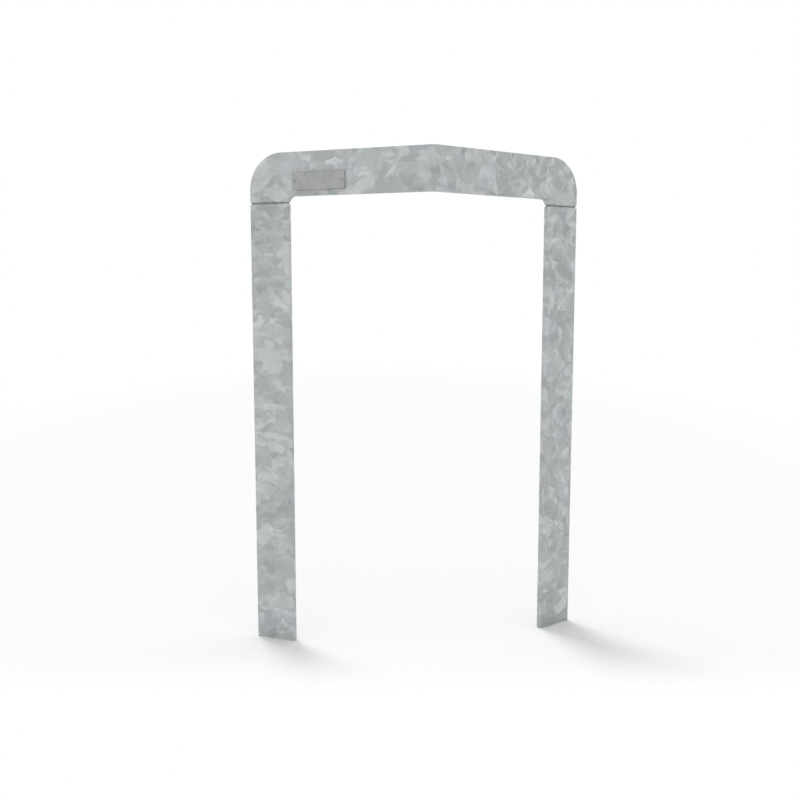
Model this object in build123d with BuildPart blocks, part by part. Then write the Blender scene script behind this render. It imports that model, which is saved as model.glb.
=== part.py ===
from build123d import *
import os
from math import cos, radians, sin, tan

# Bike rack for setting in the ground: a hoop of flat steel bar. The crown is bent at its middle, so that each
# half of the hoop swings back, and the legs are welded under its turned-down ends. Lengths are in millimetres,
# angles in degrees. The origin is on the ground line, midway between the legs, with X along the rack, Y from
# the convex front to the back, and Z up.

# Flat bar that the crown and the legs are made of
bar_width = 70
bar_thickness = 10
edge_round = 0.6

# Hoop
hoop_height = 820  # ground line to the top edge
arm_length = 322  # along the front of one half, from the sharp corner of the bend to the outer edge
half_swing = 30  # angle that each half is turned back by
bend_inner_radius = 10
corner_outer_radius = 58
corner_inner_radius = 10

# Joint between the crown and a leg: bevelled all round, welded at the root, held in line by two pins
joint_land = 5.2  # thickness that stays flat between the bevels
weld_depth = 1.1
pin_wall = 0.6  # metal left on each side of a pin at the land
pin_length = 24
pin_spacing = 36
pin_clearance = 0.05
pin_end_room = 0.5

# Buried end of a leg and the ribbed cross bar through it
buried_depth = 250
anchor_height = 60  # from the buried end to the bar's axis
anchor_length = 200
anchor_core_diameter = 12
anchor_clearance = 0.25
rib_height = 0.6
rib_pitch = 8
rib_base = 3
rib_crest = 1.5

# Bare name plate on the front of the left half, held by two drive rivets
plate_length = 93.5
plate_height = 28
plate_thickness = 3
plate_corner_radius = 1.5
plate_edge_round = 0.8
plate_side_margin = 9.5  # from the line of the leg's inner edge
plate_low_margin = 9  # from the crown's underside
rivet_end_margin = 4.5
rivet_shank_diameter = 2.5
rivet_clearance = 0.1
rivet_depth = 5  # shank length inside the crown
rivet_head_diameter = 4.5
rivet_head_height = 1.2
rivet_head_round = 0.9

# Values worked out from the sizes above
swing = radians(half_swing)
crown_underside = hoop_height - bar_width
joint_height = crown_underside - corner_inner_radius
joint_bevel = (bar_thickness - joint_land) / 2
land_width = bar_width - 2 * joint_bevel
leg_run = arm_length - bar_width / 2
leg_x = leg_run * cos(swing) - bar_thickness / 2 * sin(swing)
front_y = -leg_run * sin(swing) - bar_thickness / 2 * cos(swing)
bend_outer_radius = bend_inner_radius + bar_thickness
bend_run = bend_outer_radius * tan(swing)
bend_centre_y = front_y + bend_outer_radius / cos(swing)
pin_radius = joint_land / 2 - pin_wall
pin_hole_radius = pin_radius + pin_clearance
pin_hole_depth = pin_length / 2 + pin_end_room
anchor_z = anchor_height - buried_depth
anchor_radius = anchor_core_diameter / 2
anchor_hole_radius = anchor_radius + rib_height + anchor_clearance
plate_run = arm_length - bar_width - plate_side_margin - plate_length / 2
plate_z = crown_underside + plate_low_margin + plate_height / 2
rivet_spacing = plate_length - 2 * rivet_end_margin
rivet_hole_radius = rivet_shank_diameter / 2 + rivet_clearance

LEFT = -1
RIGHT = 1


def half_front(side):
    """Upright plane on the front of one half: x runs out along the bar from the sharp corner, y runs up."""
    return Plane(
        origin=(0, front_y, 0),
        x_dir=(side * cos(swing), sin(swing), 0),
        z_dir=(sin(swing), -side * cos(swing), 0),
    )


def leg_section(side, height):
    """Level plane across a leg: x runs along the bar's width, y across its thickness."""
    return Plane(
        origin=(side * leg_x, 0, height),
        x_dir=(side * cos(swing), sin(swing), 0),
        z_dir=(0, 0, 1),
    )


def bevel_cutter(side, direction):
    """Frame that trims a bar's end back to the land, upward (1) or downward (-1) from the joint."""
    reach = 2 * joint_bevel
    with BuildPart() as cutter:
        with BuildSketch(leg_section(side, joint_height)):
            Rectangle(bar_width + 2 * reach, bar_thickness + 2 * reach)
        extrude(amount=direction * reach)
        with BuildSketch(leg_section(side, joint_height)):
            Rectangle(land_width, joint_land)
        with BuildSketch(leg_section(side, joint_height + direction * reach)):
            Rectangle(land_width + 2 * reach, joint_land + 2 * reach)
        loft(mode=Mode.SUBTRACT)
    return cutter.part


# Crown: one plate, cut to shape with turned-down ends and bent at its middle
with BuildPart() as crown:
    with BuildSketch(half_front(RIGHT)):
        with BuildLine():
            outer_corner = CenterArc(
                (arm_length - corner_outer_radius, hoop_height - corner_outer_radius),
                corner_outer_radius, 90, -90,
            )
            inner_corner = CenterArc(
                (arm_length - bar_width - corner_inner_radius, joint_height),
                corner_inner_radius, 0, 90,
            )
            Polyline(
                inner_corner @ 1,
                (bend_run, crown_underside),
                (bend_run, hoop_height),
                outer_corner @ 0,
            )
            Polyline(outer_corner @ 1, (arm_length, joint_height), inner_corner @ 0)
        make_face()
    extrude(amount=-bar_thickness)
    with BuildSketch(Plane.XY.offset(crown_underside)):
        with BuildLine():
            bend_front = CenterArc((0, bend_centre_y), bend_outer_radius, -90, half_swing)
            bend_back = CenterArc((0, bend_centre_y), bend_inner_radius, -90, half_swing)
            Line(bend_front @ 0, bend_back @ 0)
            Line(bend_front @ 1, bend_back @ 1)
        make_face()
    extrude(amount=bar_width)
    # The rounded outline leaves out the two seams beside the bend and the two edges at the joint
    flat_edges = crown.faces().filter_by(half_front(RIGHT)).edges()
    flat_outline = flat_edges.sort_by(Axis.X)[2:].sort_by(Axis.Z)[2:]
    bend_outline = crown.edges().filter_by(GeomType.CIRCLE).sort_by(Axis.X)[:4]
    fillet(flat_outline + bend_outline, radius=edge_round)
    mirror(about=Plane.YZ)
    for side in (LEFT, RIGHT):
        add(bevel_cutter(side, 1), mode=Mode.SUBTRACT)
        with BuildSketch(leg_section(side, joint_height)):
            with GridLocations(pin_spacing, 0, 2, 1):
                Circle(pin_hole_radius)
        extrude(amount=pin_hole_depth, mode=Mode.SUBTRACT)
    with BuildSketch(half_front(LEFT)):
        with Locations((plate_run, plate_z)):
            with GridLocations(rivet_spacing, 0, 2, 1):
                Circle(rivet_hole_radius)
    extrude(amount=rivet_depth + rivet_clearance, mode=Mode.SUBTRACT)


def make_leg(side):
    """Leg: straight flat bar from the crown down to its buried end, drilled for the cross bar."""
    with BuildPart() as leg:
        with BuildSketch(leg_section(side, -buried_depth)):
            RectangleRounded(bar_width, bar_thickness, edge_round)
        extrude(amount=buried_depth + joint_height)
        add(bevel_cutter(side, -1), mode=Mode.SUBTRACT)
        with BuildSketch(leg_section(side, joint_height)):
            with GridLocations(pin_spacing, 0, 2, 1):
                Circle(pin_hole_radius)
        extrude(amount=-pin_hole_depth, mode=Mode.SUBTRACT)
        with BuildSketch(half_front(side)):
            with Locations((leg_run, anchor_z)):
                Circle(anchor_hole_radius)
        extrude(amount=-side * bar_thickness, mode=Mode.SUBTRACT)
    return leg.part


def make_joint_pins(side):
    """Pair of pins that hold the crown and a leg in line while they are welded."""
    with BuildPart() as pins:
        with BuildSketch(leg_section(side, joint_height - pin_length / 2)):
            with GridLocations(pin_spacing, 0, 2, 1):
                Circle(pin_radius)
        extrude(amount=pin_length)
    return pins.part


def make_joint_weld(side, leg):
    """Weld that runs round the root of the groove between the crown and a leg."""
    with BuildPart() as weld:
        with BuildSketch(leg_section(side, joint_height - weld_depth)):
            Rectangle(land_width + 2 * weld_depth, joint_land + 2 * weld_depth)
            Rectangle(land_width, joint_land, mode=Mode.SUBTRACT)
        extrude(amount=2 * weld_depth)
        add(crown.part, mode=Mode.SUBTRACT)
        add(leg, mode=Mode.SUBTRACT)
    return weld.part


def make_anchor_bar(side):
    """Ribbed bar through the buried end of a leg, which keeps it from pulling out of the footing."""
    rib_count = int((anchor_length - rib_pitch) / rib_pitch)
    first_rib = -rib_pitch * (rib_count - 1) / 2
    across = Vector(-side * sin(swing), cos(swing), 0)
    centre = (side * leg_x, 0, anchor_z)
    with BuildPart() as bar:
        with BuildSketch(Plane(origin=centre, x_dir=across, z_dir=(0, 0, 1))):
            with BuildLine():
                outline = [(-anchor_length / 2, 0), (-anchor_length / 2, anchor_radius)]
                for rib in range(rib_count):
                    rib_at = first_rib + rib * rib_pitch
                    outline.append((rib_at - rib_base / 2, anchor_radius))
                    outline.append((rib_at - rib_crest / 2, anchor_radius + rib_height))
                    outline.append((rib_at + rib_crest / 2, anchor_radius + rib_height))
                    outline.append((rib_at + rib_base / 2, anchor_radius))
                outline.append((anchor_length / 2, anchor_radius))
                outline.append((anchor_length / 2, 0))
                Polyline(*outline, close=True)
            make_face()
        revolve(axis=Axis(centre, across))
    return bar.part


left_leg = make_leg(LEFT)
right_leg = make_leg(RIGHT)

# Name plate: bare, with eased front edges, seated flat on the crown
through_plate = Axis(half_front(LEFT).origin, half_front(LEFT).z_dir)
with BuildPart() as name_plate:
    with BuildSketch(half_front(LEFT)):
        with Locations((plate_run, plate_z)):
            RectangleRounded(plate_length, plate_height, plate_corner_radius)
    extrude(amount=-plate_thickness)
    plate_front = name_plate.faces().filter_by(half_front(LEFT)).sort_by(through_plate)[0]
    fillet(plate_front.edges(), radius=plate_edge_round)
    with BuildSketch(half_front(LEFT)):
        with Locations((plate_run, plate_z)):
            with GridLocations(rivet_spacing, 0, 2, 1):
                Circle(rivet_hole_radius)
    extrude(amount=-plate_thickness, mode=Mode.SUBTRACT)

# Drive rivets: plain shanks hammered into blind holes, with low domed heads on the plate
with BuildPart() as name_plate_rivets:
    with BuildSketch(half_front(LEFT).offset(rivet_depth)):
        with Locations((plate_run, plate_z)):
            with GridLocations(rivet_spacing, 0, 2, 1):
                Circle(rivet_shank_diameter / 2)
    extrude(amount=-rivet_depth - plate_thickness)
    with BuildSketch(half_front(LEFT).offset(-plate_thickness)):
        with Locations((plate_run, plate_z)):
            with GridLocations(rivet_spacing, 0, 2, 1):
                Circle(rivet_head_diameter / 2)
    extrude(amount=-rivet_head_height)
    head_tops = name_plate_rivets.faces().filter_by(half_front(LEFT)).group_by(through_plate)[0]
    fillet(head_tops.edges(), radius=rivet_head_round)

pieces = {
    "crown": crown.part,
    "left_leg": left_leg,
    "right_leg": right_leg,
    "left_joint_pins": make_joint_pins(LEFT),
    "right_joint_pins": make_joint_pins(RIGHT),
    "left_joint_weld": make_joint_weld(LEFT, left_leg),
    "right_joint_weld": make_joint_weld(RIGHT, right_leg),
    "left_anchor_bar": make_anchor_bar(LEFT),
    "right_anchor_bar": make_anchor_bar(RIGHT),
    "name_plate": name_plate.part,
    "name_plate_rivets": name_plate_rivets.part,
}

os.makedirs("parts", exist_ok=True)
for name, piece in pieces.items():
    piece.label = name
    export_step(piece, f"parts/{name}.step")
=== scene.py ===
import math

import bpy
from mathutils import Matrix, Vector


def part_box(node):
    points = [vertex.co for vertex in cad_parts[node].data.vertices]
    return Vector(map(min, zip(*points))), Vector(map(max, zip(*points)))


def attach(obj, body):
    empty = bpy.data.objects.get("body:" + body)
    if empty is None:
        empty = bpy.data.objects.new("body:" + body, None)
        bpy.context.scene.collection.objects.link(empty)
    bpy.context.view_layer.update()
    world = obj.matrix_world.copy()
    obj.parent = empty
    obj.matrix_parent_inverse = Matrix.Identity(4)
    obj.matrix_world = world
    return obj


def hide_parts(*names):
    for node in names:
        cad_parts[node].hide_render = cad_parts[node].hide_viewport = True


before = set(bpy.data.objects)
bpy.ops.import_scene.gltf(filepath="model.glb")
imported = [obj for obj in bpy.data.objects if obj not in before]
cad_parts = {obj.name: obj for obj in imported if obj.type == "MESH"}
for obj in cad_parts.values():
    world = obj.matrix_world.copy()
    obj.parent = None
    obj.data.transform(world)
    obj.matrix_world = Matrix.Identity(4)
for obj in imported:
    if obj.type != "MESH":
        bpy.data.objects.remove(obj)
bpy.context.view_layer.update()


# Legs and crown: 70 x 10 mm flat steel bar. The crown is one plate, cut with turned-down ends and bent at
# its middle. After welding, the whole hoop is dipped in molten zinc, which freezes in large flat crystals.

MM = 0.001
ZINC_SHIFT = (521 * MM, 943 * MM, 827 * MM)  # picks which stretch of the endless pattern lies on the hoop
GRAIN_HEADING = 150  # degrees round Z
GRAIN_SIZE = (52 * MM, 26 * MM, 32 * MM)
LATH_SIZE = (32 * MM, 11.5 * MM, 15 * MM)
BROAD_STROKE = (62 * MM, 22 * MM, 26 * MM)
FINE_STROKE = (26 * MM, 9 * MM, 10 * MM)
ARM_SIZE = (18 * MM, 1 * MM, 1.2 * MM)  # coarser than the real arms, so that they show
STROKE_BEND = 0.3
STROKE_EDGE = (0.455, 0.59)
WANDER_SIZE = 24 * MM
WANDER_REACH = 14 * MM
FRAY_SIZE = 6 * MM
FRAY_REACH = 1 * MM
GRAIN_TONE = 0.18
GRAIN_SLOPE_TONE = 0.32
LATH_TONE = 0.09
LATH_SLOPE_TONE = 0.13
BROAD_TONE = 0.29
FINE_TONE = 0.3
ARM_TONE = 0.36
ZINC_GREYS = ((0.0, "#aaaeaf"), (0.5, "#c1c4c5"), (1.0, "#d9ddde"))
ZINC_TINTS = ((0.15, "#fdfffe"), (0.45, "#feffff"), (0.7, "#fffffe"), (0.9, "#fdfeff"))
ZINC_GLANCE = "#cbcbcb"
ZINC_SHEEN = (0.6, 0.76)
ZINC_RIPPLE = 6 * MM
ZINC_RELIEF = 0.15 * MM
LATH_RELIEF = 1.5  # times the height of the ripple


def linear(code):
    """Turns an sRGB hex value into the linear colour that a shader takes."""
    parts = [int(code[i : i + 2], 16) / 255 for i in (1, 3, 5)]
    return [c / 12.92 if c <= 0.04045 else ((c + 0.055) / 1.055) ** 2.4 for c in parts] + [1.0]


def fill(tree, socket, value):
    """Links a socket to another one, or to a node's first output, or else sets it to a plain value."""
    if isinstance(value, bpy.types.Node):
        value = value.outputs[0]
    if isinstance(value, bpy.types.NodeSocket):
        tree.links.new(value, socket)
    else:
        socket.default_value = value


def add(tree, kind, inputs=None, stops=(), **settings):
    """Adds one node with its properties and colour stops, and fills its inputs by name or number."""
    node = tree.nodes.new(kind)
    for name, value in settings.items():
        setattr(node, name, value)
    for number, (place, code) in enumerate(stops):
        elements = node.color_ramp.elements
        stop = elements[number] if number < len(elements) else elements.new(place)
        stop.position = place
        stop.color = linear(code)
    for name, value in (inputs or {}).items():
        fill(tree, node.inputs[name], value)
    return node


def new_material(name, metallic):
    """Gives a new material, its node tree, its shader and the place on a piece that patterns start from."""
    material = bpy.data.materials.new(name)
    material.use_nodes = True
    tree = material.node_tree
    shader = tree.nodes["Principled BSDF"]
    shader.inputs["Metallic"].default_value = metallic
    return material, tree, shader, add(tree, "ShaderNodeTexCoord").outputs["Object"]


def finish(tree, shader, colour, wear, sheen, height, relief):
    """Gives a shader its colour, a sheen that follows one pattern and a relief that follows another."""
    rough = add(tree, "ShaderNodeMapRange", {"Value": wear, "To Min": sheen[0], "To Max": sheen[1]})
    bump = add(tree, "ShaderNodeBump", {"Height": height, "Distance": relief})
    fill(tree, shader.inputs["Base Color"], colour)
    fill(tree, shader.inputs["Roughness"], rough)
    fill(tree, shader.inputs["Normal"], bump)


def give(node, material):
    """Puts one material on every slot of a CAD node."""
    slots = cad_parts[node].data.materials
    slots.clear()
    slots.append(material)


def push(tree, place, size, reach):
    """Pushes a place about by noise of one size, so that what is cut there has uneven borders."""
    noise = add(tree, "ShaderNodeTexNoise", {"Vector": place, "Scale": 1 / size, "Detail": 2.0})
    centred = {0: noise.outputs["Color"], 1: (0.5, 0.5, 0.5)}
    swing = add(tree, "ShaderNodeVectorMath", centred, operation="SUBTRACT")
    reaches = (2 * reach, 2 * reach, 2 * reach)
    return add(tree, "ShaderNodeVectorMath", {0: swing, 1: reaches, 2: place}, operation="MULTIPLY_ADD")


def along_grain(tree, place, size):
    """Measures a place in crystal sizes, with its first direction along the grain's heading."""
    heading = (0.0, 0.0, math.radians(GRAIN_HEADING))
    measured = {"Vector": place, "Rotation": heading, "Scale": size}
    return add(tree, "ShaderNodeMapping", measured, vector_type="TEXTURE")


def soft_strokes(tree, place, size):
    """Draws cloudy strokes of one size along the grain's heading."""
    lined_up = along_grain(tree, place, size)
    drawn = {"Vector": lined_up, "Scale": 1.0, "Detail": 1.0, "Distortion": STROKE_BEND}
    return add(tree, "ShaderNodeTexNoise", drawn)


def zinc_crystals(tree, place, size):
    """Cuts a place into crystals: gives each one's random numbers, its heading and its slope of tone."""
    lined_up = along_grain(tree, place, size)
    cells = add(tree, "ShaderNodeTexVoronoi", {"Vector": lined_up, "Scale": 1.0}).outputs
    numbers = add(tree, "ShaderNodeSeparateColor", {0: cells["Color"]}).outputs
    centred = {0: cells["Color"], 1: (0.5, 0.5, 0.5)}
    heading = add(tree, "ShaderNodeVectorMath", centred, operation="SUBTRACT")
    reach = add(tree, "ShaderNodeVectorMath", {0: lined_up, 1: cells["Position"]}, operation="SUBTRACT")
    slope = add(tree, "ShaderNodeVectorMath", {0: reach, 1: heading}, operation="DOT_PRODUCT")
    return numbers, heading, slope.outputs["Value"]


def galvanised_steel():
    """Hot-dip zinc: soft pale flames in close greys, turned another way in each grain, with a dull sheen."""
    material, tree, shader, spot = new_material("hot-dip galvanised steel", 1.0)
    place = add(tree, "ShaderNodeVectorMath", {0: spot, 1: ZINC_SHIFT}, operation="ADD")
    bent = push(tree, place, WANDER_SIZE, WANDER_REACH)
    frayed = push(tree, bent, FRAY_SIZE, FRAY_REACH)
    grain, grain_heading, grain_slope = zinc_crystals(tree, frayed, GRAIN_SIZE)

    # Each grain is filled its own way: broad and fine strokes, faint laths and a crystal's straight arms
    turned, straight = [
        add(
            tree,
            "ShaderNodeVectorRotate",
            {"Vector": source, "Rotation": grain_heading},
            rotation_type="EULER_XYZ",
        )
        for source in (frayed, place)
    ]
    lath, _, lath_slope = zinc_crystals(tree, turned, LATH_SIZE)
    strokes = soft_strokes(tree, turned, BROAD_STROKE)
    broad = add(
        tree,
        "ShaderNodeMapRange",
        {"Value": strokes, "From Min": STROKE_EDGE[0], "From Max": STROKE_EDGE[1]},
        interpolation_type="SMOOTHSTEP",
    )
    fine = soft_strokes(tree, turned, FINE_STROKE)
    arms = soft_strokes(tree, straight, ARM_SIZE)
    some_arms = add(tree, "ShaderNodeMath", {0: arms, 1: lath[2]}, operation="MULTIPLY")

    # Tone adds up from these layers, each given with its middle value, round a middle grey
    layers = (
        (grain[0], 0.5, GRAIN_TONE),
        (grain_slope, 0.0, GRAIN_SLOPE_TONE),
        (lath[0], 0.5, LATH_TONE),
        (lath_slope, 0.0, LATH_SLOPE_TONE),
        (broad, 0.5, BROAD_TONE),
        (fine, 0.5, FINE_TONE),
        (some_arms, 0.25, ARM_TONE),
    )
    tone = 0.5 - sum(middle * weight for _, middle, weight in layers)
    for layer, _, weight in layers:
        tone = add(tree, "ShaderNodeMath", {0: layer, 1: weight, 2: tone}, operation="MULTIPLY_ADD")
    grey = add(tree, "ShaderNodeValToRGB", {0: tone}, stops=ZINC_GREYS)
    tint = add(tree, "ShaderNodeValToRGB", {0: grain[1]}, stops=ZINC_TINTS)
    mixed = {0: 1.0, 6: grey, 7: tint}
    colour = add(tree, "ShaderNodeMix", mixed, data_type="RGBA", blend_type="MULTIPLY").outputs[2]

    # The laths tilt a little against each other, under the fine ripple of the frozen zinc
    ripple = add(tree, "ShaderNodeTexNoise", {"Vector": place, "Scale": 1 / ZINC_RIPPLE, "Detail": 5.0})
    tilted = {0: lath_slope, 1: LATH_RELIEF, 2: ripple}
    height = add(tree, "ShaderNodeMath", tilted, operation="MULTIPLY_ADD")
    finish(tree, shader, colour, lath[1], ZINC_SHEEN, height, ZINC_RELIEF)
    shader.inputs["Specular Tint"].default_value = linear(ZINC_GLANCE)
    return material


hoop_zinc = galvanised_steel()
for bar in ("left_leg", "right_leg", "crown"):
    give(bar, hoop_zinc)


# Joint pins: two ground steel pins in each joint. They sit in blind holes of the leg and the crown and hold
# the two bars in line while the joint is welded.

PIN_GREYS = ((0.0, "#a2a3a5"), (1.0, "#c4c5c7"))
PIN_SHEEN = (0.22, 0.36)
PIN_RELIEF = 0.01 * MM
GRINDING_MARK = (4 * MM, 4 * MM, 0.25 * MM)  # coarser than real marks, so that they show


def ground_steel():
    """Centreless-ground steel: bright, with fine rings round the pin."""
    material, tree, shader, place = new_material("ground steel", 1.0)
    rings = add(tree, "ShaderNodeMapping", {"Vector": place, "Scale": GRINDING_MARK}, vector_type="TEXTURE")
    marks = add(tree, "ShaderNodeTexNoise", {"Vector": rings, "Scale": 1.0, "Detail": 2.0})
    grey = add(tree, "ShaderNodeValToRGB", {0: marks}, stops=PIN_GREYS)
    finish(tree, shader, grey, marks, PIN_SHEEN, marks, PIN_RELIEF)
    return material


pin_steel = ground_steel()
for pins in ("left_joint_pins", "right_joint_pins"):
    give(pins, pin_steel)


# Joint welds: one bead of weld metal at the root of the bevelled groove round each joint. The zinc over it
# is thin and dull, and the bead's dark grey is also painted shade at the groove's root, so the groove looks
# dark.

HALF_SWING = 30  # degrees that each half of the hoop is turned back by
JOINT_LAND = (65.2 * MM, 5.2 * MM)
BEAD_STAND_OFF = 0.6 * MM
BEAD_CORNER = 0.7 * MM
BEAD_CORNER_STEPS = 4
BEAD_RADIUS = 0.66 * MM
BEAD_SIDES = 12
BEAD_STEP = 0.3 * MM
RIPPLE_COUNT = 64
RIPPLE_DEPTH = 0.3
# Weld greys: partly the dull zinc on weld metal, partly painted shade at the root of the groove
WELD_AND_SHADE_GREYS = ((0.3, "#848787"), (0.7, "#a0a4a4"))
WELD_SHEEN = (0.55, 0.8)
WELD_RELIEF = 0.1 * MM
SOOT_SIZE = 3 * MM


def dull_weld_and_root_shade():
    """Weld metal under a thin alloyed zinc layer: dull, uneven grey without crystals, darkened further as
    painted shade at the groove's root.
    """
    material, tree, shader, place = new_material("dull zinc on weld metal", 1.0)
    soot = add(tree, "ShaderNodeTexNoise", {"Vector": place, "Scale": 1 / SOOT_SIZE, "Detail": 4.0})
    grey = add(tree, "ShaderNodeValToRGB", {0: soot}, stops=WELD_AND_SHADE_GREYS)
    finish(tree, shader, grey, soot, WELD_SHEEN, soot, WELD_RELIEF)
    return material


def new_tree(name, inputs):
    """Starts a Geometry Nodes tree with named inputs: gives it, their identifiers and their sockets."""
    tree = bpy.data.node_groups.new(name, "GeometryNodeTree")
    keys = {}
    for label, kind in inputs.items():
        socket = tree.interface.new_socket(label, in_out="INPUT", socket_type="NodeSocket" + kind)
        keys[label] = socket.identifier
    tree.interface.new_socket("Mesh", in_out="OUTPUT", socket_type="NodeSocketGeometry")
    return tree, keys, add(tree, "NodeGroupInput").outputs


def close_tree(tree, geometry, material):
    """Ends a tree: instances become mesh, and the mesh takes its material."""
    real = add(tree, "GeometryNodeRealizeInstances", {"Geometry": geometry})
    shaded = add(tree, "GeometryNodeSetMaterial", {"Geometry": real, "Material": material})
    add(tree, "NodeGroupOutput", {0: shaded})


def grow(name, tree, keys, values, node):
    """Runs a tree with these input values, and puts its plain mesh in place of a CAD node."""
    piece = bpy.data.objects.new(name, bpy.data.meshes.new(name))
    bpy.context.scene.collection.objects.link(piece)
    modifier = piece.modifiers.new(tree.name, "NODES")
    modifier.node_group = tree
    for label, value in values.items():
        modifier[keys[label]] = value
    graph = bpy.context.evaluated_depsgraph_get()
    mesh = bpy.data.meshes.new_from_object(piece.evaluated_get(graph), depsgraph=graph)
    mesh.name = name
    piece.modifiers.clear()
    piece.data = mesh
    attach(piece, "root")
    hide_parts(node)


def weld_bead(material):
    """A round bead that follows a rectangle, and swells and drops once in each ripple."""
    tree, keys, given = new_tree(
        "weld_bead",
        {
            "Width": "Float",
            "Thickness": "Float",
            "Corner": "Float",
            "Radius": "Float",
            "Step": "Float",
            "Ripples": "Int",
            "Ripple depth": "Float",
            "Centre": "Vector",
            "Turn": "Rotation",
        },
    )
    outline = add(
        tree,
        "GeometryNodeCurvePrimitiveQuadrilateral",
        {"Width": given["Width"], "Height": given["Thickness"]},
    )
    rounded = add(
        tree,
        "GeometryNodeFilletCurve",
        {"Curve": outline, "Radius": given["Corner"], "Count": BEAD_CORNER_STEPS},
        mode="POLY",
    )
    path = add(tree, "GeometryNodeResampleCurve", {"Curve": rounded, "Length": given["Step"]}, mode="LENGTH")
    along = add(tree, "GeometryNodeSplineParameter").outputs["Factor"]
    laid = add(tree, "ShaderNodeMath", {0: along, 1: given["Ripples"]}, operation="MULTIPLY")
    ripple = add(tree, "ShaderNodeMath", {0: laid}, operation="FRACT")
    drop = add(tree, "ShaderNodeMath", {0: ripple, 1: given["Ripple depth"]}, operation="MULTIPLY")
    swell = add(tree, "ShaderNodeMath", {0: 1.0, 1: drop}, operation="SUBTRACT")
    ring = {"Resolution": BEAD_SIDES, "Radius": given["Radius"]}
    section = add(tree, "GeometryNodeCurvePrimitiveCircle", ring)
    bead = add(tree, "GeometryNodeCurveToMesh", {"Curve": path, "Profile Curve": section, "Scale": swell})
    placing = {"Geometry": bead, "Translation": given["Centre"], "Rotation": given["Turn"]}
    close_tree(tree, add(tree, "GeometryNodeTransform", placing), material)
    return tree, keys


bead_tree, bead_keys = weld_bead(dull_weld_and_root_shade())
for side, turn in (("left", -HALF_SWING), ("right", HALF_SWING)):
    low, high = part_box(side + "_joint_weld")
    bead_sizes = {
        "Width": JOINT_LAND[0] + 2 * BEAD_STAND_OFF,
        "Thickness": JOINT_LAND[1] + 2 * BEAD_STAND_OFF,
        "Corner": BEAD_CORNER,
        "Radius": BEAD_RADIUS,
        "Step": BEAD_STEP,
        "Ripples": RIPPLE_COUNT,
        "Ripple depth": RIPPLE_DEPTH,
        "Centre": (low + high) / 2,
        "Turn": (0.0, 0.0, math.radians(turn)),
    }
    grow(side + "_weld_bead", bead_tree, bead_keys, bead_sizes, side + "_joint_weld")


# Name plate: a small plate of cast aluminium with a fine matt face, left bare. It lies flat on the front of
# the left half and is held by a rivet near each end.

PLATE_GREYS = ((0.3, "#a0a1a0"), (0.7, "#b7b8b7"))
PLATE_SHEEN = (0.5, 0.72)
CAST_GRAIN = 1.1 * MM  # coarser than the real grain, so that it shows
CAST_RELIEF = 0.08 * MM
CAST_CLOUD = 14 * MM
CLOUD_SHARE = 0.5


def cast_aluminium():
    """Fine sand-cast aluminium: matt neutral grey, faintly cloudy, with a close pebbled grain."""
    material, tree, shader, place = new_material("cast aluminium", 1.0)
    grain = add(tree, "ShaderNodeTexNoise", {"Vector": place, "Scale": 1 / CAST_GRAIN, "Detail": 3.0})
    cloud = add(tree, "ShaderNodeTexNoise", {"Vector": place, "Scale": 1 / CAST_CLOUD, "Detail": 2.0})
    mixed = add(tree, "ShaderNodeMix", {0: CLOUD_SHARE, 2: grain, 3: cloud}, data_type="FLOAT")
    grey = add(tree, "ShaderNodeValToRGB", {0: mixed}, stops=PLATE_GREYS)
    finish(tree, shader, grey, grain, PLATE_SHEEN, grain, CAST_RELIEF)
    return material


give("name_plate", cast_aluminium())


# Name plate rivets: two stainless drive rivets with low round heads, hammered through the plate into blind
# holes of the crown.

RIVET_GREYS = ((0.3, "#8e9090"), (0.7, "#a9abab"))
RIVET_SHEEN = (0.25, 0.45)
RIVET_RELIEF = 0.02 * MM
SCUFF_SIZE = 0.9 * MM


def stainless_steel():
    """Cold-headed stainless steel: smooth and grey, with small hammer scuffs."""
    material, tree, shader, place = new_material("stainless steel", 1.0)
    scuffs = add(tree, "ShaderNodeTexNoise", {"Vector": place, "Scale": 1 / SCUFF_SIZE, "Detail": 3.0})
    grey = add(tree, "ShaderNodeValToRGB", {0: scuffs}, stops=RIVET_GREYS)
    finish(tree, shader, grey, scuffs, RIVET_SHEEN, scuffs, RIVET_RELIEF)
    return material


give("name_plate_rivets", stainless_steel())


# Anchor bars: hot-rolled ribbed bars of 12 mm through the buried ends of the legs. The footing is cast round
# them, and their ribs key into it.

ANCHOR_LENGTH = 200 * MM
CORE_RADIUS = 6 * MM
CORE_SIDES = 32
RIB_HEIGHT = 0.6 * MM
RIB_PITCH = 8 * MM
RIB_LEAN = 0.7
RIB_SWEEP = 150  # degrees round the core
RIB_STEPS = 17
RIB_SIDES = 10
RIB_TIP = 0.05  # share of the rib's height that is left at its ends
RIB_ROWS = ((0.0, 0.75), (math.pi, 1.25))  # each row's turn, and its first rib in pitches from the end
SEAM_HEIGHT = 0.4 * MM
SEAM_SIDES = 8
SEAM_SHARE = 0.985  # of the bar's length
SCALE_COLOURS = ((0.3, "#464447"), (0.55, "#575350"), (0.8, "#76604f"))
SCALE_METAL = 0.6
SCALE_SHEEN = (0.5, 0.9)
SCALE_SIZE = 5 * MM
SCALE_RELIEF = 0.1 * MM


def mill_scale():
    """Hot-rolled steel: dark blue-brown mill scale with patches of light rust."""
    material, tree, shader, place = new_material("hot-rolled steel with mill scale", SCALE_METAL)
    patches = add(tree, "ShaderNodeTexNoise", {"Vector": place, "Scale": 1 / SCALE_SIZE, "Detail": 5.0})
    colour = add(tree, "ShaderNodeValToRGB", {0: patches}, stops=SCALE_COLOURS)
    finish(tree, shader, colour, patches, SCALE_SHEEN, patches, SCALE_RELIEF)
    return material


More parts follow.
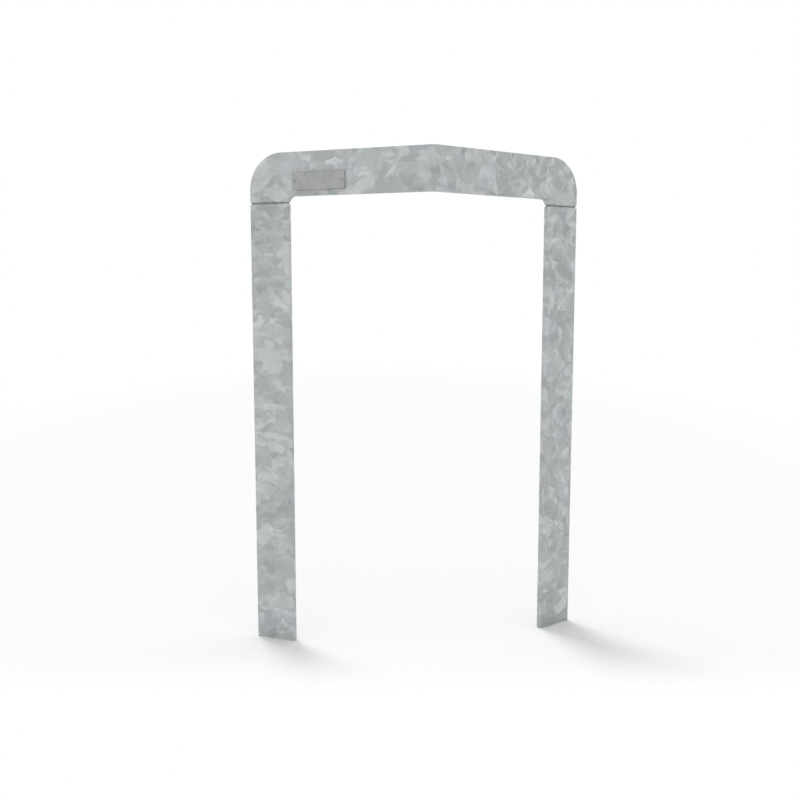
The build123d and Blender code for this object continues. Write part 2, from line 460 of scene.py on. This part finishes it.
def ribbed_bar(material):
    """A round core along Z with two long seams and two rows of leaning crescent ribs between them."""
    tree, keys, given = new_tree(
        "ribbed_bar",
        {
            "Length": "Float",
            "Core radius": "Float",
            "Rib height": "Float",
            "Rib pitch": "Float",
            "Rib lean": "Float",
            "Seam height": "Float",
            "Centre": "Vector",
            "Turn": "Rotation",
        },
    )
    half = add(tree, "ShaderNodeMath", {0: given["Length"], 1: 0.5}, operation="MULTIPLY")
    minus_half = add(tree, "ShaderNodeMath", {0: half, 1: -1.0}, operation="MULTIPLY")
    bottom = add(tree, "ShaderNodeCombineXYZ", {"Z": minus_half})
    top = add(tree, "ShaderNodeCombineXYZ", {"Z": half})
    axis = add(tree, "GeometryNodeCurvePrimitiveLine", {"Start": bottom, "End": top})
    core_ring = {"Resolution": CORE_SIDES, "Radius": given["Core radius"]}
    core_section = add(tree, "GeometryNodeCurvePrimitiveCircle", core_ring)
    core = add(
        tree,
        "GeometryNodeCurveToMesh",
        {"Curve": axis, "Profile Curve": core_section, "Fill Caps": True},
    )

    # One crescent: an arc on the core, leaned along the bar and thinned towards both ends
    arc = add(
        tree,
        "GeometryNodeCurveArc",
        {
            "Resolution": RIB_STEPS,
            "Radius": given["Core radius"],
            "Start Angle": math.radians(-RIB_SWEEP / 2),
            "Sweep Angle": math.radians(RIB_SWEEP),
        },
        mode="RADIUS",
    )
    spot = add(tree, "ShaderNodeSeparateXYZ", {0: add(tree, "GeometryNodeInputPosition")}).outputs
    rise = add(tree, "ShaderNodeMath", {0: spot["Y"], 1: given["Rib lean"]}, operation="MULTIPLY")
    shift = add(tree, "ShaderNodeCombineXYZ", {"Z": rise})
    leaned = add(tree, "GeometryNodeSetPosition", {"Geometry": arc, "Offset": shift})
    along = add(tree, "GeometryNodeSplineParameter").outputs["Factor"]
    swing = add(tree, "ShaderNodeMath", {0: along, 1: math.pi}, operation="MULTIPLY")
    bulge = add(tree, "ShaderNodeMath", {0: swing}, operation="SINE")
    swell = add(tree, "ShaderNodeMath", {0: bulge, 1: RIB_TIP}, operation="MAXIMUM")
    rib_ring = {"Resolution": RIB_SIDES, "Radius": given["Rib height"]}
    rib_section = add(tree, "GeometryNodeCurvePrimitiveCircle", rib_ring)
    rib = add(
        tree,
        "GeometryNodeCurveToMesh",
        {"Curve": leaned, "Profile Curve": rib_section, "Scale": swell, "Fill Caps": True},
    )

    # Ribs stand on points along the bar, one row on each side and half a pitch apart
    pitches = add(tree, "ShaderNodeMath", {0: given["Length"], 1: given["Rib pitch"]}, operation="DIVIDE")
    count = add(tree, "ShaderNodeMath", {0: pitches, 1: 1.0}, operation="SUBTRACT")
    step = add(tree, "ShaderNodeCombineXYZ", {"Z": given["Rib pitch"]})
    parts = [core]
    for turn, start in RIB_ROWS:
        from_middle = {0: given["Rib pitch"], 1: start, 2: minus_half}
        first_height = add(tree, "ShaderNodeMath", from_middle, operation="MULTIPLY_ADD")
        first = add(tree, "ShaderNodeCombineXYZ", {"Z": first_height})
        spots = add(tree, "GeometryNodeMeshLine", {"Count": count, "Start Location": first, "Offset": step})
        row = {"Points": spots, "Instance": rib, "Rotation": (0.0, 0.0, turn)}
        parts.append(add(tree, "GeometryNodeInstanceOnPoints", row))

    # The seams run between the rows, half sunk in the core, and stop just short of the deburred ends
    seam_ring = {"Resolution": SEAM_SIDES, "Radius": given["Seam height"]}
    seam_section = add(tree, "GeometryNodeCurvePrimitiveCircle", seam_ring)
    seam = add(
        tree,
        "GeometryNodeCurveToMesh",
        {"Curve": axis, "Profile Curve": seam_section, "Fill Caps": True},
    )
    for way in (-1.0, 1.0):
        out = add(tree, "ShaderNodeMath", {0: given["Core radius"], 1: way}, operation="MULTIPLY")
        seam_spot = add(tree, "ShaderNodeCombineXYZ", {"Y": out})
        laid = {"Geometry": seam, "Translation": seam_spot, "Scale": (1.0, 1.0, SEAM_SHARE)}
        parts.append(add(tree, "GeometryNodeTransform", laid))
    joined = add(tree, "GeometryNodeJoinGeometry")
    for part in parts:
        fill(tree, joined.inputs["Geometry"], part)
    placing = {"Geometry": joined, "Translation": given["Centre"], "Rotation": given["Turn"]}
    close_tree(tree, add(tree, "GeometryNodeTransform", placing), material)
    return tree, keys


bar_tree, bar_keys = ribbed_bar(mill_scale())
for side, heading in (("left", 90 - HALF_SWING), ("right", 90 + HALF_SWING)):
    low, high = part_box(side + "_anchor_bar")
    bar_sizes = {
        "Length": ANCHOR_LENGTH,
        "Core radius": CORE_RADIUS,
        "Rib height": RIB_HEIGHT,
        "Rib pitch": RIB_PITCH,
        "Rib lean": RIB_LEAN,
        "Seam height": SEAM_HEIGHT,
        "Centre": (low + high) / 2,
        "Turn": (0.0, math.radians(90), math.radians(heading)),
    }
    grow(side + "_ribbed_bar", bar_tree, bar_keys, bar_sizes, side + "_anchor_bar")


# Floor, light and camera: a sheet of white studio paper on the ground line, which fades into an even white
# sky. One broad lamp, high on the left behind the rack, lays a soft shadow from each leg to the right.

WHITE = "#ffffff"
PAPER_WHITE = "#dadada"
PAPER_ROUGHNESS = 0.9
PAPER_REACH = 6000 * MM
FADE_CENTRE = (0.0, 1200 * MM, 0.0)
FADE_REACH = (2000 * MM, 4500 * MM, 1.0)
FADE_START = 0.6  # share of that reach
FRONT_FADE = (-90 * MM, -270 * MM)
LAMP_STRENGTH = 1.35
LAMP_SPREAD = 18  # this angle and the other five are in degrees
LAMP_HEADING = 202
LAMP_HEIGHT = 64
CAMERA_TURN = 7.99
CAMERA_DIP = 7.1
CAMERA_FIELD = 45
CAMERA_PLACE = (-259.6 * MM, -1625.5 * MM, 615.7 * MM)


def studio_paper():
    """White paper: matt, without gloss, and lost in the white of the sky far off and close to the viewer."""
    material, tree, shader, place = new_material("white studio paper", 0.0)
    shader.inputs["Base Color"].default_value = linear(PAPER_WHITE)
    shader.inputs["Roughness"].default_value = PAPER_ROUGHNESS
    shader.inputs["Specular IOR Level"].default_value = 0.0
    facing = (0.0, 0.0, math.radians(-CAMERA_TURN))
    around = {"Vector": place, "Location": FADE_CENTRE, "Rotation": facing, "Scale": FADE_REACH}
    spread = add(tree, "ShaderNodeMapping", around, vector_type="TEXTURE")
    distance = add(tree, "ShaderNodeVectorMath", {0: spread}, operation="LENGTH").outputs["Value"]
    far_fade = add(
        tree,
        "ShaderNodeMapRange",
        {"Value": distance, "From Min": FADE_START, "From Max": 1.0},
        interpolation_type="SMOOTHSTEP",
    )
    turned = add(tree, "ShaderNodeMapping", {"Vector": place, "Rotation": facing}, vector_type="TEXTURE")
    depth = add(tree, "ShaderNodeSeparateXYZ", {0: turned}).outputs["Y"]
    front_fade = add(
        tree,
        "ShaderNodeMapRange",
        {"Value": depth, "From Min": FRONT_FADE[0], "From Max": FRONT_FADE[1]},
        interpolation_type="SMOOTHSTEP",
    )
    fade = add(tree, "ShaderNodeMath", {0: far_fade, 1: front_fade}, operation="MAXIMUM")
    glow = add(tree, "ShaderNodeEmission", {"Color": linear(WHITE), "Strength": 1.0})
    faded = add(tree, "ShaderNodeMixShader", {0: fade, 1: shader, 2: glow})
    fill(tree, tree.nodes["Material Output"].inputs["Surface"], faded)
    return material


scene = bpy.context.scene
floor_mesh = bpy.data.meshes.new("studio_floor")
corners = [(x * PAPER_REACH, y * PAPER_REACH, 0.0) for x, y in ((-1, -1), (1, -1), (1, 1), (-1, 1))]
floor_mesh.from_pydata(corners, [], [(0, 1, 2, 3)])
floor_mesh.materials.append(studio_paper())
floor = bpy.data.objects.new("studio_floor", floor_mesh)
scene.collection.objects.link(floor)

scene.world = bpy.data.worlds.new("white_sky")
scene.world.use_nodes = True
sky = scene.world.node_tree.nodes["Background"]
sky.inputs["Color"].default_value = linear(WHITE)
sky.inputs["Strength"].default_value = 1.0

lamp_data = bpy.data.lights.new("main_lamp", "SUN")
lamp_data.energy = LAMP_STRENGTH
lamp_data.angle = math.radians(LAMP_SPREAD)
lamp = bpy.data.objects.new("main_lamp", lamp_data)
lamp.rotation_euler = (math.radians(90 - LAMP_HEIGHT), 0.0, math.radians(LAMP_HEADING))
scene.collection.objects.link(lamp)

camera_data = bpy.data.cameras.new("camera")
camera_data.angle = math.radians(CAMERA_FIELD)
camera = bpy.data.objects.new("camera", camera_data)
camera.location = CAMERA_PLACE
camera.rotation_euler = (math.radians(90 - CAMERA_DIP), 0.0, math.radians(-CAMERA_TURN))
scene.collection.objects.link(camera)
scene.camera = camera
scene.view_settings.view_transform = "Standard"
